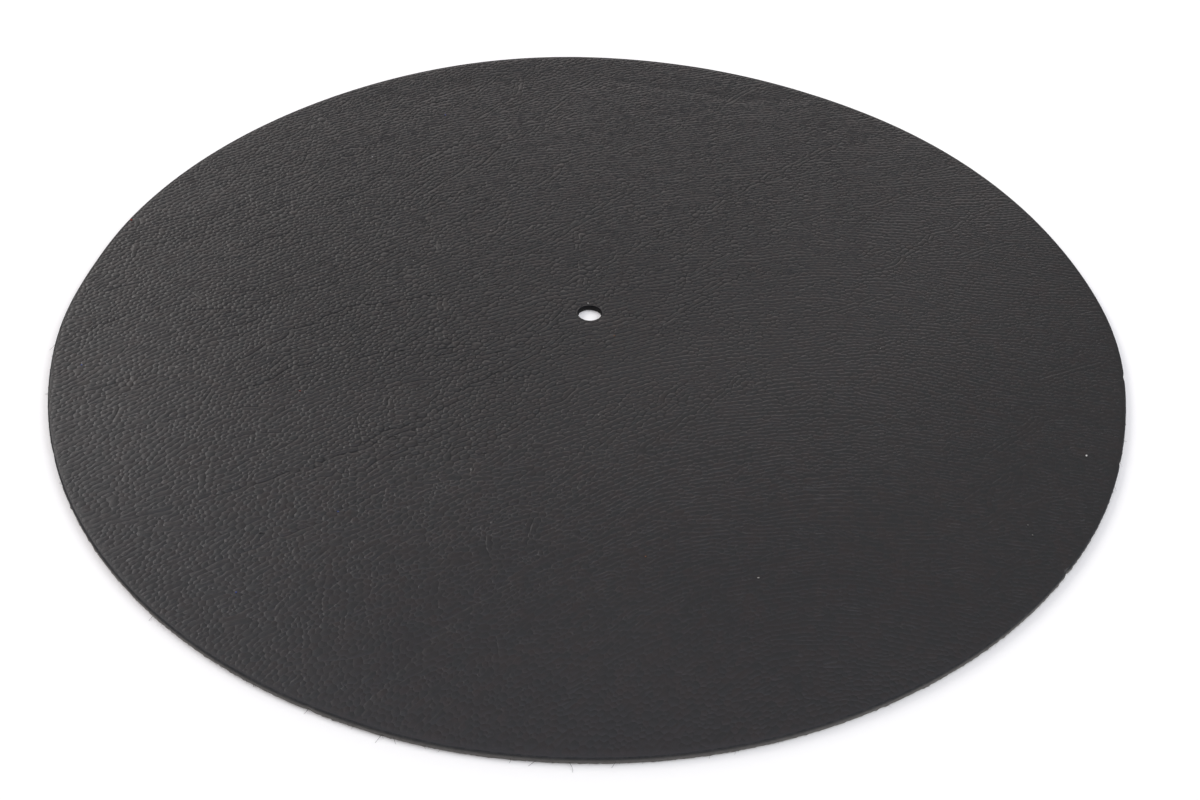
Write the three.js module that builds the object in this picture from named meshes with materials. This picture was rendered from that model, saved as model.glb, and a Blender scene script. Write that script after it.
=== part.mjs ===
// Leather mat for a turntable's platter.
//
// One disc, knifed from a single hide of pebbled black leather, with a hole punched at its
// centre for the spindle. The grain side is up, the suede side lies on the platter.
// Millimetres, +Z up. The origin is the centre of the spindle hole, on the underside.
// Angles round the disc are in degrees: 0 points along +X, 90 along +Y.

import * as THREE from 'three';

// Driving dimensions
const MAT_DIAMETER = 300; // covers a standard platter's flat top, out to a 12-inch record's rim
const HOLE_DIAMETER = 6.9; // a 7 mm punch in leather that has closed up a little on a 7.1 mm spindle
const THICKNESS = 1.8;
const RIM_ARRIS = 0.4; // the knife draws the grain side down as it enters
const HOLE_ARRIS = 0.3; // the punch does the same round the hole
const UNDER_ARRIS = 0.12; // worn corner of the suede side, at the rim and at the hole

// Where the knife wandered off the circle: each stretch swells (+) or trims (-) the rim by
// `out`, and fades over `spread` degrees to either side of `at`.
const KNIFE_WANDER = [
  { at: -2, spread: 8, out: 1.0 },
  { at: 58, spread: 9, out: -0.5 },
  { at: 104, spread: 15, out: 0.6 },
  { at: 173, spread: 4, out: -0.4 },
  { at: 185, spread: 4, out: 0.25 },
  { at: 258, spread: 4, out: 0.2 },
  { at: 300, spread: 8, out: -0.25 },
  { at: 331, spread: 6, out: 0.25 },
];

// One stretch of the rim doesn't lie quite flat: it curls up from a soft fold line that
// runs `reach` inside the rim, and is `lift` off the platter at its highest.
const RIM_CURL = { at: 104, spread: 17, reach: 18, lift: 1.0 };

// How finely the faces are divided
const SECTORS = 96; // round the disc
const ROUND_STEPS = 3; // over each arris on the grain side
const FIELD_STEPS = 2; // from the hole out to the fold line
const CURL_STEPS = 4; // from the fold line out to the rim

const MAT_RADIUS = MAT_DIAMETER / 2;
const HOLE_RADIUS = HOLE_DIAMETER / 2;
const FOLD_RADIUS = MAT_RADIUS - RIM_CURL.reach;
const QUARTER_TURN = Math.PI / 2;

// One corner of the section: a quarter circle about (radius, height), anticlockwise.
function roundedCorner(radius, height, size, startAngle, steps) {
  return Array.from({ length: steps + 1 }, (_, step) => {
    const angle = startAngle + (step / steps) * QUARTER_TURN;
    return new THREE.Vector2(radius + size * Math.cos(angle), height + size * Math.sin(angle));
  });
}

// Points strictly between two radii at one height, in equal steps.
function levelStretch(fromRadius, toRadius, height, steps) {
  return Array.from({ length: steps - 1 }, (_, index) => {
    const radius = THREE.MathUtils.lerp(fromRadius, toRadius, (index + 1) / steps);
    return new THREE.Vector2(radius, height);
  });
}

// A face of the disc from the hole out to the rim, with a ring of points on the fold line.
function faceFromHoleToRim(holeEdge, rimEdge, height) {
  return [
    ...levelStretch(holeEdge, FOLD_RADIUS, height, FIELD_STEPS),
    new THREE.Vector2(FOLD_RADIUS, height),
    ...levelStretch(FOLD_RADIUS, rimEdge, height, CURL_STEPS),
  ];
}

// The section from the hole's wall to the rim's wall, anticlockwise and closed on itself:
// out along the underside, up the cut edge, back over the grain side and down the hole.
function matSection() {
  const rimUnder = roundedCorner(MAT_RADIUS - UNDER_ARRIS, UNDER_ARRIS, UNDER_ARRIS, -QUARTER_TURN, 1);
  const rimTop = roundedCorner(MAT_RADIUS - RIM_ARRIS, THICKNESS - RIM_ARRIS, RIM_ARRIS, 0, ROUND_STEPS);
  const holeTop = roundedCorner(
    HOLE_RADIUS + HOLE_ARRIS, THICKNESS - HOLE_ARRIS, HOLE_ARRIS, QUARTER_TURN, ROUND_STEPS,
  );
  const holeUnder = roundedCorner(HOLE_RADIUS + UNDER_ARRIS, UNDER_ARRIS, UNDER_ARRIS, 2 * QUARTER_TURN, 1);
  const underside = faceFromHoleToRim(HOLE_RADIUS + UNDER_ARRIS, MAT_RADIUS - UNDER_ARRIS, 0);
  const grainSide = faceFromHoleToRim(HOLE_RADIUS + HOLE_ARRIS, MAT_RADIUS - RIM_ARRIS, THICKNESS).reverse();
  const loop = [...underside, ...rimUnder, ...rimTop, ...grainSide, ...holeTop, ...holeUnder];
  return [...loop, loop[0].clone()];
}

// How far an angle is from a stretch's middle decides its share there, 1 at the middle.
function stretchShare(angle, stretch) {
  const turn = THREE.MathUtils.euclideanModulo(angle - stretch.at + 180, 360) - 180;
  return Math.exp(-0.5 * (turn / stretch.spread) ** 2);
}

function rimShift(angle) {
  return KNIFE_WANDER.reduce((sum, stretch) => sum + stretch.out * stretchShare(angle, stretch), 0);
}

function curlLift(angle, radius) {
  const rise = THREE.MathUtils.smoothstep(radius, FOLD_RADIUS, MAT_RADIUS);
  return RIM_CURL.lift * rise * stretchShare(angle, RIM_CURL);
}

// The disc as it was cut and as it lies: the rim moved by the knife's wander, which fades
// out towards the true round hole, and the sheet raised where the rim curls.
function leatherDisc() {
  const disc = new THREE.LatheGeometry(matSection(), SECTORS);
  disc.rotateX(QUARTER_TURN);
  const place = disc.attributes.position;
  for (let index = 0; index < place.count; index += 1) {
    const x = place.getX(index);
    const y = place.getY(index);
    const radius = Math.hypot(x, y);
    const angle = THREE.MathUtils.radToDeg(Math.atan2(y, x));
    const reach = THREE.MathUtils.clamp((radius - HOLE_RADIUS) / (FOLD_RADIUS - HOLE_RADIUS), 0, 1);
    const stretch = 1 + (rimShift(angle) * reach) / radius;
    place.setXYZ(index, x * stretch, y * stretch, place.getZ(index) + curlLift(angle, radius));
  }
  disc.computeVertexNormals();
  return disc;
}

const leather = new THREE.MeshStandardMaterial({ color: 0x3b3939, roughness: 0.6, metalness: 0 });
const leatherMat = new THREE.Mesh(leatherDisc(), leather);
leatherMat.name = 'leather_mat';

const platterMat = new THREE.Group();
platterMat.add(leatherMat);

export default platterMat;
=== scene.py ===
# %% [markdown]
# A turntable's platter mat, cut from one hide.
# The real object is a single disc of black leather, pebbled on the grain side, with a hole
# punched for the spindle. There is no backing and no stitching, so all of its looks are in
# the grain, in the knife's cut round the rim, and in the dust that has settled on it.
# The solid for this disc is already made. It gives the size, the outline and the way one
# stretch of the rim curls up, and everything here is measured from it.

# %% Load the solid
from math import cos, pi, radians, sin

import bmesh
import bpy
import numpy as np
from mathutils import Matrix, Vector
from mathutils.geometry import delaunay_2d_cdt
from mathutils.kdtree import KDTree


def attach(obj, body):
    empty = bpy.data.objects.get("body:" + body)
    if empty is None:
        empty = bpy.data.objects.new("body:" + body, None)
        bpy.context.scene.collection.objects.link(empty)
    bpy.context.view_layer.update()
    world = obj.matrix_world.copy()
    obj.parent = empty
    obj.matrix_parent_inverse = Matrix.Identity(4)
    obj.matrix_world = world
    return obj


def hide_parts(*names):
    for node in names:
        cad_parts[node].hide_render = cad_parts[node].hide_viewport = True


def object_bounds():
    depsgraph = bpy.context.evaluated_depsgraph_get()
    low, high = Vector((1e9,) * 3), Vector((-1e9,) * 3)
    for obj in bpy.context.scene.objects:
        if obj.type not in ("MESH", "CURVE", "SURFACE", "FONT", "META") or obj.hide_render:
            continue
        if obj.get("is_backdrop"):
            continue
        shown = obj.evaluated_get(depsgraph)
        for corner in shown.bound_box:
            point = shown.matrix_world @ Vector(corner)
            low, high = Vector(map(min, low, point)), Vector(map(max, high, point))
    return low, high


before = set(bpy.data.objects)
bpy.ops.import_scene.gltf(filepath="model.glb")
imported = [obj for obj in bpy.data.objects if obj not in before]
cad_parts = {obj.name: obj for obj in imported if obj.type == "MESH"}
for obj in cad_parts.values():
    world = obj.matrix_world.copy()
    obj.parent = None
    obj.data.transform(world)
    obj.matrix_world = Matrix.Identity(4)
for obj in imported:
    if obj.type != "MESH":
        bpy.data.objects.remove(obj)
cad_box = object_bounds()
MM = 0.001  # every size below is in metres, so 2 * MM is two millimetres
print("the solid's box, mm:", [[round(v / MM, 2) for v in corner] for corner in cad_box])

# %% [markdown]
# The camera comes first, because it decides how much detail anything needs.
# A flat disc is a good camera target: its outline is a circle, and the way that circle turns
# into an ellipse gives the lens, the height and the small roll of a hand-held shot. The
# camera is kept as those few numbers, and its place is worked out from them.

# %% Camera
PHOTO_WIDTH_PX = 1200
FOCAL_PX = 1396
SENSOR_WIDTH_MM = 36
LOOKING_DOWN = radians(42.13)
ROLL = radians(1.466)
DISC_FROM_LENS = Vector((-3.0, 23.95, -405.4)) * MM  # the disc's centre, seen by the camera


def add_object(name, data):
    """Puts a camera, a mesh or a light into the scene."""
    made = bpy.data.objects.new(name, data)
    bpy.context.scene.collection.objects.link(made)
    return made


def photo_camera():
    backward = Vector((0, -cos(LOOKING_DOWN), sin(LOOKING_DOWN)))
    level_right = Vector((1, 0, 0))
    level_up = backward.cross(level_right)
    right = cos(ROLL) * level_right + sin(ROLL) * level_up
    up = cos(ROLL) * level_up - sin(ROLL) * level_right
    turn = Matrix((right, up, backward)).transposed()
    lens = bpy.data.cameras.new("photo_camera")
    lens.sensor_width = SENSOR_WIDTH_MM
    lens.lens = FOCAL_PX / PHOTO_WIDTH_PX * SENSOR_WIDTH_MM
    lens.clip_start = 10 * MM
    camera = add_object("photo_camera", lens)
    camera.matrix_world = Matrix.Translation(-(turn @ DISC_FROM_LENS)) @ turn.to_4x4()
    bpy.context.scene.camera = camera
    return camera


camera = photo_camera()
print("the camera stands at, mm:", [round(v / MM, 1) for v in camera.matrix_world.translation])

# %% [markdown]
# The rim isn't a perfect circle. Whoever cut the mat let the knife wander by up to a
# millimetre, and one stretch of the rim curls up off the table. Both are in the solid, so
# they are read back from it here: how far out the rim is, and how high its underside sits,
# at every angle round the disc.

# %% Measure the solid
corners = np.array([v.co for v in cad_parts["leather_mat"].data.vertices])
corner_radius = np.hypot(corners[:, 0], corners[:, 1])
corner_angle = np.round(np.degrees(np.arctan2(corners[:, 1], corners[:, 0])) % 360, 2) % 360

NEAR_RIM = 0.97  # corners past this share of the radius belong to the rim
HOLE_RADIUS = corner_radius.min()
RIM_RADIUS = np.median(corner_radius[corner_radius > NEAR_RIM * corner_radius.max()])
THICKNESS = corners[corner_radius < 0.5 * RIM_RADIUS, 2].max()

rim_corners = corner_radius > NEAR_RIM * RIM_RADIUS
rim_angles = np.unique(corner_angle[rim_corners])
rim_radii = np.array([corner_radius[rim_corners & (corner_angle == a)].max() for a in rim_angles])
rim_heights = np.array([corners[rim_corners & (corner_angle == a), 2].min() for a in rim_angles])


def rim_radius(angle):
    return np.interp(angle, rim_angles, rim_radii, period=360)


def rim_beyond(x, y):
    """The rim's radius, straight out from a place on the mat."""
    return rim_radius(np.degrees(np.arctan2(y, x)))


def rim_lift(angle):
    return np.interp(angle, rim_angles, rim_heights, period=360)


print(f"hole {2 * HOLE_RADIUS / MM:.2f} mm, rim {2 * RIM_RADIUS / MM:.1f} mm across")
print(f"leather {THICKNESS / MM:.2f} mm thick")
print(f"the rim is cut {rim_radii.min() / MM:.2f} to {rim_radii.max() / MM:.2f} mm from the centre")

# %% [markdown]
# Leather never varies evenly, so several steps need a smooth, slow, repeatable wander:
# a field that rises and falls over a chosen distance. A handful of sine waves in seeded
# random directions does this, and needs no table of numbers.

# %% A slow wander over the hide
def slow_wander(x, y, wavelength, seed, waves=7):
    """A smooth field of about -1 to 1 that changes over `wavelength`."""
    draw = np.random.default_rng(seed)
    field = np.zeros_like(x)
    for _ in range(waves):
        heading = draw.uniform(0, 2 * pi)
        pitch = wavelength * draw.uniform(0.7, 1.5)
        phase = draw.uniform(0, 2 * pi)
        field += np.sin(2 * pi * (x * cos(heading) + y * sin(heading)) / pitch + phase)
    return field / np.sqrt(2 * waves)


def smooth_rise(value, start, end):
    share = np.clip((value - start) / (end - start), 0, 1)
    return share * share * (3 - 2 * share)


# %% [markdown]
# Grain follows the hide. On this mat the pebbles lie in loose rows that climb steeply at
# the left, flatten out in the middle and dip a little at the right. The direction was read
# off at twenty places; between them it is a blend, weighted towards the nearest,
# with a slow swirl on top. A direction is blended as an arrow of twice its angle, because
# a row that points up-right is the same row as one that points down-left.

# %% The direction of the grain
ROW_DIRECTIONS = [  # x and y in mm, climb in degrees
    (-130, 0, 40), (-80, 80, 36), (-80, 0, 34), (-80, -80, 38), (-130, -60, 46),
    (-40, 120, 26), (-40, 40, 24), (-40, -40, 36), (-40, -120, 52),
    (0, 80, 12), (0, 0, 22), (0, -80, 36), (10, -130, 48),
    (40, 100, 15), (40, 0, 10), (40, -80, 12),
    (90, 80, 6), (100, 20, -8), (110, -50, -18), (80, -100, -8),
]
DIRECTION_REACH = 30 * MM
SWIRLS = ((9, 32 * MM, 11), (6, 11 * MM, 12))  # degrees, wavelength, seed


def grain_direction(x, y):
    """The climb of the rows, in radians."""
    arrow_x, arrow_y = np.zeros_like(x), np.zeros_like(x)
    for px, py, climb in ROW_DIRECTIONS:
        away = np.hypot(x - px * MM, y - py * MM) / DIRECTION_REACH
        weight = 1 / (0.15 + away ** 4)
        arrow_x += weight * cos(2 * radians(climb))
        arrow_y += weight * sin(2 * radians(climb))
    climb = np.arctan2(arrow_y, arrow_x) / 2
    for swing, wavelength, seed in SWIRLS:
        climb += radians(swing) * slow_wander(x, y, wavelength, seed)
    return climb


GRID_GAP = 2 * MM
GRID_HALF = 80
grid_steps = np.arange(-GRID_HALF, GRID_HALF + 1) * GRID_GAP
direction_grid = grain_direction(*np.meshgrid(grid_steps, grid_steps))
middle_climbs = np.degrees(direction_grid[GRID_HALF, GRID_HALF - 60:GRID_HALF + 61:30])
print("rows climb", middle_climbs.round().astype(int).tolist(), "degrees, left to right across the middle")

# %% [markdown]
# Creases are where a hide has bent. On this mat nearly all of them climb at some 37 degrees,
# whatever the pebbles do, so at the right they cut straight across the rows. The long ones
# are laid through listed points. Between them lie many short, shallow ones, drawn at
# random from a fixed seed. At the left a second, finer family crosses them, almost upright,
# and the two together give that side its quilted look.

# %% Creases
LONG_CREASES_MM = [  # the points that it passes, then its depth
    (((-115, -87), (-102, -82), (-70, -66), (-38, -46)), 0.24),
    (((-95, -104), (-69, -88), (-52, -74), (-44, -70)), 0.22),
    (((-117, -54), (-111, -51), (-104, -48)), 0.18),
    (((-60, -106), (-41, -89), (-33, -84)), 0.14),
    (((-108, 25), (-98, 33), (-91, 37)), 0.18),
    (((-80, 7), (-63, 21), (-55, 27)), 0.16),
    (((-100, -29), (-83, -11), (-71, -1), (-52, 4), (-33, 11)), 0.20),
    (((-103, -12), (-91, -3)), 0.14),
    (((-94, -39), (-83, -29), (-75, -24)), 0.18),
    (((-60, -58), (-46, -48), (-32, -38)), 0.20),
    (((-39, -39), (-24, -27), (-12, -16), (-5, -8)), 0.22),
    (((-37, -62), (-21, -51), (-6, -37), (2, -28)), 0.20),
    (((-13, -64), (3, -56), (13, -46), (27, -30)), 0.16),
    (((-35, -84), (-9, -75), (9, -63), (28, -43), (42, -27)), 0.16),
    (((-36, 19), (-13, 34), (2, 50), (24, 65)), 0.18),
    (((-12, 11), (13, 32), (34, 51)), 0.16),
    (((-55, 49), (-41, 61)), 0.16),
    (((-40, 48), (-23, 57)), 0.14),
    (((-32, 89), (-16, 104), (-7, 112)), 0.14),
    (((38, 34), (75, 54), (94, 62), (114, 72)), 0.20),
    (((21, 38), (51, 68), (84, 97)), 0.18),
    (((86, 21), (106, 43), (126, 58)), 0.14),
    (((44, 66), (68, 75), (102, 88)), 0.14),
]
SHORT_CREASES = 300
SHORT_CREASE_DEPTHS = (0.04 * MM, 0.15 * MM)
SHORT_CREASE_LENGTHS = (6 * MM, 30 * MM)
CREASE_CLIMB = 37  # degrees
CROSSING_CREASES = 60
CROSSING_DEPTHS = (0.03 * MM, 0.09 * MM)
CROSSING_LENGTHS = (5 * MM, 14 * MM)
CROSSING_CLIMB = 98
STEP = 0.6 * MM  # creases and rows are traced in steps of this length


def direction_at(x, y):
    """The grain's direction at one place, blended from the four nearest grid points."""
    across, up = x / GRID_GAP + GRID_HALF, y / GRID_GAP + GRID_HALF
    column, line = int(across), int(up)
    share_x, share_y = across - column, up - line
    low = direction_grid[line, column] * (1 - share_x) + direction_grid[line, column + 1] * share_x
    high = direction_grid[line + 1, column] * (1 - share_x) + direction_grid[line + 1, column + 1] * share_x
    return low * (1 - share_y) + high * share_y


def left_share(x, y):
    """1 at the left of the mat, fading to 0 past its middle."""
    return smooth_rise(-x, -25 * MM, 60 * MM)


def laid_crease(places, depth, seed):
    places = np.array(places) * MM
    lengths = np.concatenate(([0], np.cumsum(np.hypot(*np.diff(places, axis=0).T))))
    along = np.arange(0, lengths[-1], STEP)
    x = np.interp(along, lengths, places[:, 0])
    y = np.interp(along, lengths, places[:, 1])
    wander = 0.5 * MM * slow_wander(x, y, 9 * MM, seed)
    taper = np.sin(pi * np.clip((along + STEP) / (lengths[-1] + 2 * STEP), 0, 1)) ** 0.4
    return np.column_stack([x + wander, y - wander, depth * MM * taper])


def drawn_crease(x, y, length, depth, climb, draw):
    """A crease that starts at one climb, in degrees, and bends a little as it goes."""
    places = []
    bend = draw.normal(0, 12) / length
    for _ in range(int(length / STEP)):
        if np.hypot(x, y) > RIM_RADIUS - 1 * MM:
            break
        places.append((x, y))
        climb += bend * STEP + draw.normal(0, 2.5)
        x, y = x + STEP * cos(radians(climb)), y + STEP * sin(radians(climb))
    share = (np.arange(len(places)) + 1) / (len(places) + 1)
    return np.column_stack([np.array(places), depth * np.sin(pi * share) ** 0.5])


def all_creases():
    """Each crease as rows of x, y and depth."""
    creases = [laid_crease(places, depth, 60 + i) for i, (places, depth) in enumerate(LONG_CREASES_MM)]
    draw = np.random.default_rng(23)
    for count, depths, lengths, climb, spread, elsewhere in (
        (SHORT_CREASES, SHORT_CREASE_DEPTHS, SHORT_CREASE_LENGTHS, CREASE_CLIMB, 7, 0.08),
        (CROSSING_CREASES, CROSSING_DEPTHS, CROSSING_LENGTHS, CROSSING_CLIMB, 12, 0.0),
    ):
        wanted = len(creases) + count
        while len(creases) < wanted:
            x, y = draw.uniform(-RIM_RADIUS, RIM_RADIUS, 2)
            chance = draw.uniform()
            likely = elsewhere + (1 - elsewhere) * left_share(x, y)
            if np.hypot(x, y) < RIM_RADIUS - 4 * MM and chance < likely:
                length, depth = draw.uniform(*lengths), draw.uniform(*depths)
                creases.append(drawn_crease(x, y, length, depth, draw.normal(climb, spread), draw))
    return creases


creases = all_creases()
print(len(creases), "creases,", round(sum(len(c) for c in creases) * STEP, 2), "m of them")

# %% [markdown]
# The rows are traced one at a time, as long lines that keep their distance. The first ones
# run along either side of each crease, so that no pebble lies across it. Every other line
# starts beside one that is already there, follows the grain both ways, and stops where it
# would crowd another line, a crease or the rim. Rows then fork and end by themselves where
# the grain fans out, as they do in a hide.

# %% Rows of pebbles
ROW_WIDTH = 1.38 * MM
CELL = 1.8 * MM  # side of the squares that placed points are filed by
APART = 0.86  # a new row starts this share of its full distance from its neighbour
START_ROOM = 0.74  # it needs at least this much room on its other side
STOP_ROOM = 0.58  # and ends where it has less than this
START_EVERY = 5  # steps along a row between the places where a neighbour may start


def grain_size(x, y):
    """Pebbles are larger at the left and smaller at the right."""
    return 1.0 - 0.10 * x / RIM_RADIUS


def half_row(x, y):
    return ROW_WIDTH / 2 * grain_size(x, y)


class Placed:
    """Points that are taken, filed by the square they lie in, so that near ones are quick to find."""

    def __init__(self):
        self.squares = {}

    def put(self, x, y, half_width):
        self.squares.setdefault((int(x // CELL), int(y // CELL)), []).append((x, y, half_width))

    def put_row(self, row):
        for x, y in row:
            self.put(x, y, half_row(x, y))

    def room(self, x, y, half_width):
        """Distance to the nearest taken point, as a share of what two neighbours need."""
        column, line = int(x // CELL), int(y // CELL)
        least = 9.0
        for square in ((column + i, line + j) for i in (-1, 0, 1) for j in (-1, 0, 1)):
            for px, py, other in self.squares.get(square, ()):
                share = ((px - x) ** 2 + (py - y) ** 2) ** 0.5 / (half_width + other)
                least = min(least, share)
        return least


def row_places(placed, x, y):
    """A row through one place, followed both ways along the grain."""
    halves = []
    for sense in (1, -1):
        half = []
        px, py = x, y
        while True:
            climb = direction_at(px, py)
            px, py = px + sense * STEP * cos(climb), py + sense * STEP * sin(climb)
            radius = np.hypot(px, py)
            off_the_hide = radius > RIM_RADIUS + 1 * MM or radius < HOLE_RADIUS
            if off_the_hide or placed.room(px, py, half_row(px, py)) < STOP_ROOM:
                break
            half.append((px, py))
        halves.append(half)
    return halves[1][::-1] + [(x, y)] + halves[0]


def flanking_rows(placed, crease):
    """A row along either side of a crease, broken where another crease is too near."""
    flanks = []
    x, y = crease[:, 0], crease[:, 1]
    climb = np.arctan2(np.gradient(y), np.gradient(x))
    for side in (1, -1):
        half_width = half_row(x, y)
        beside_x = x - side * half_width * np.sin(climb)
        beside_y = y + side * half_width * np.cos(climb)
        run = []
        for px, py, half in zip(beside_x, beside_y, half_width):
            if HOLE_RADIUS < np.hypot(px, py) < RIM_RADIUS and placed.room(px, py, half) > STOP_ROOM:
                run.append((px, py))
            else:
                flanks.append(run)
                run = []
        flanks.append(run)
    return [flank for flank in flanks if len(flank) > 2]


def all_rows():
    placed = Placed()
    for crease in creases:
        for x, y, _ in crease:
            placed.put(x, y, 0)
    rows = []
    for crease in creases:
        for flank in flanking_rows(placed, crease):
            placed.put_row(flank)
            rows.append(np.array(flank))
    waiting = [row.tolist() for row in rows]
    waiting.append([(HOLE_RADIUS + ROW_WIDTH, 0.0), (HOLE_RADIUS + ROW_WIDTH + STEP, 0.0)])
    for line in waiting:
        for (x, y), (nx, ny) in list(zip(line[:-1], line[1:]))[::START_EVERY]:
            length = max(np.hypot(nx - x, ny - y), 1e-9)
            for side in (1, -1):
                half_width = half_row(x, y)
                apart = APART * 2 * half_width
                start_x = x - side * apart * (ny - y) / length
                start_y = y + side * apart * (nx - x) / length
                on_the_hide = HOLE_RADIUS < np.hypot(start_x, start_y) < RIM_RADIUS
                if not on_the_hide or placed.room(start_x, start_y, half_width) < START_ROOM:
                    continue
                row = row_places(placed, start_x, start_y)
                placed.put_row(row)
                rows.append(np.array(row))
                waiting.append(row)
    return rows


rows = all_rows()
print(len(rows), "rows,", round(sum(len(r) for r in rows) * STEP, 1), "m of them")

# %% [markdown]
# Now each row is divided into pebbles, each with one seed at its middle. Real pebbles
# never line up, so the seeds are moved a little along the row and across it. Every seed
# keeps the number of its row and its place in it, because the mesh will treat neighbours
# in one row differently from pebbles of different rows.

# %% A seed for every pebble
PEBBLE_LENGTH = 1.86 * MM
ALONG_JITTER = 0.26
ACROSS_JITTER = 0.13
ROW_END = 0.3  # a seed may lie this share of a pebble past the end of its row
EDGE_ROUNDING = 0.4 * MM  # the knife's rounding of the grain side
HOLE_ROUNDING = 0.15 * MM
EDGE_MARGIN = 0.6 * MM  # from the rounding to the nearest crown


def pebble_length(x, y):
    """Pebbles are rounder at the left, and drawn out along their rows from the middle on."""
    return PEBBLE_LENGTH * grain_size(x, y) * (1.17 - 0.14 * left_share(x + 30 * MM, y))


def pebble_seeds():
    draw = np.random.default_rng(5)
    places, chains = [], []
    for chain, row in enumerate(rows):
        lengths = np.concatenate(([0], np.cumsum(np.hypot(*np.diff(row, axis=0).T))))
        length = pebble_length(row[len(row) // 2, 0], row[len(row) // 2, 1])
        count = int(lengths[-1] / length + 0.5)
        along = (np.arange(count + 1) + draw.uniform(-ALONG_JITTER, ALONG_JITTER, count + 1)) * length
        along = along[(along >= 0) & (along <= lengths[-1] + ROW_END * PEBBLE_LENGTH)]
        x, y = np.interp(along, lengths, row[:, 0]), np.interp(along, lengths, row[:, 1])
        loose = ACROSS_JITTER * ROW_WIDTH * (0.5 + left_share(x, y))
        x = x + draw.normal(0, 1, len(x)) * loose
        y = y + draw.normal(0, 1, len(y)) * loose
        places.append(np.column_stack([x, y]))
        chains += [(chain, i) for i in range(len(x))]
    places, chains = np.concatenate(places), np.array(chains)
    radius = np.hypot(places[:, 0], places[:, 1])
    outermost = rim_beyond(places[:, 0], places[:, 1]) - EDGE_ROUNDING - EDGE_MARGIN
    kept = (radius < outermost) & (radius > HOLE_RADIUS + HOLE_ROUNDING + EDGE_MARGIN)
    return places[kept, 0], places[kept, 1], chains[kept]


seed_x, seed_y, seed_chain = pebble_seeds()
print(len(seed_x), "pebbles, one to", round(pi * (RIM_RADIUS / MM) ** 2 / len(seed_x), 2), "square mm")

# %% [markdown]
# The relief of the grain side is a sum of few things: the slow swell of a hide that was
# never quite flat, the curl of the rim, three soft folds where the mat was once bent, and
# the pebbles themselves. The first three move the sheet, and the pebbles sit on top. How
# crisply they stand isn't the same everywhere, because handling wears grain down. The last
# function here says how crisp it is at a place, and the mesh and its finish both use it.

# %% The lie of the sheet
CURL_REACH = 18 * MM  # the fold line of the curled rim runs this far inside the rim
SWELL = 0.10 * MM
SWELL_LENGTH = 80 * MM
SWELL_FADE = 12 * MM  # the swell dies out over this distance from the rim
SOFT_FOLDS_MM = [  # points along the fold, depth, half width
    (((10, 133), (30, 129), (51, 123), (74, 125)), 0.28, 2.6),
    (((-15, -99), (-28, -112), (-39, -127), (-47, -139)), 0.10, 1.6),
    (((36, -122), (33, -131), (31, -142)), 0.10, 1.3),
]


def distance_to_path(x, y, path):
    nearest = np.full_like(x, 1.0)  # a metre, farther than anything on the mat
    for (ax, ay), (bx, by) in zip(path[:-1], path[1:]):
        run_x, run_y = bx - ax, by - ay
        share = np.clip(((x - ax) * run_x + (y - ay) * run_y) / (run_x ** 2 + run_y ** 2), 0, 1)
        nearest = np.minimum(nearest, np.hypot(x - ax - share * run_x, y - ay - share * run_y))
    return nearest


def sheet_lift(x, y):
    """How far the whole sheet is off the table."""
    angle = np.degrees(np.arctan2(y, x))
    edge = rim_radius(angle)
    return rim_lift(angle) * smooth_rise(np.hypot(x, y), edge - CURL_REACH, edge)


def grain_side(x, y):
    """The height of the grain side without its pebbles."""
    inside = smooth_rise(rim_beyond(x, y) - np.hypot(x, y), 0, SWELL_FADE)
    height = THICKNESS + sheet_lift(x, y) + SWELL * inside * slow_wander(x, y, SWELL_LENGTH, seed=3)
    for path, depth, half_width in SOFT_FOLDS_MM:
        away = distance_to_path(x, y, [(px * MM, py * MM) for px, py in path])
        height -= depth * MM * np.exp(-((away / (half_width * MM)) ** 2))
    return height


def crispness(x, y):
    """Crispest left of the middle and on the far side, worn softer towards the rest."""
    place = y - 0.25 * np.maximum(-x, 0)
    crisp = 0.5 + 2.0 * smooth_rise(place, -150 * MM, 5 * MM) + 0.1 * smooth_rise(y, -10 * MM, 80 * MM)
    worn = 1 - 0.68 * smooth_rise(x - 0.6 * y, -40 * MM, 150 * MM) - 0.28 * smooth_rise(-x, 60 * MM, 130 * MM)
    return crisp * worn * (1 + 0.10 * slow_wander(x, y, 28 * MM, seed=9))


# %% [markdown]
# A pebble is a small dome, and there are more than twenty-five thousand of them, so each may
# only cost a few triangles. The trick is to put every point where it counts. The seeds are
# joined into triangles first, together with a ring of points along the rim and one round
# the hole. Two flaws of the rows are put right on the way: where they left too wide a gap
# it gets a pebble of its own, and a seed that sits off the middle of its room moves over.

# %% Join the seeds
RIM_POINT_GAP = 0.62 * MM
HOLE_POINTS = 96
GAP = 0.68  # the middle of three seeds may be this share of a pebble's length from them
GAP_ROOM = 0.9  # room that an added pebble needs from the others that are added
EVENING_ROUNDS = 3
EVENING_SHARE = 0.6  # how much of the way to the middle of its room a seed moves in a round


def ring(count, radius_at, inset):
    angle = np.arange(count) * 360 / count
    radius = radius_at(angle) - inset
    return radius * np.cos(np.radians(angle)), radius * np.sin(np.radians(angle))


def hole_radius(angle):
    return np.full_like(angle, HOLE_RADIUS)


rim_count = int(round(2 * pi * RIM_RADIUS / RIM_POINT_GAP))
first_seed = rim_count + HOLE_POINTS
rim_x, rim_y = ring(rim_count, rim_radius, EDGE_ROUNDING)
hole_x, hole_y = ring(HOLE_POINTS, hole_radius, -HOLE_ROUNDING)


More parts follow.
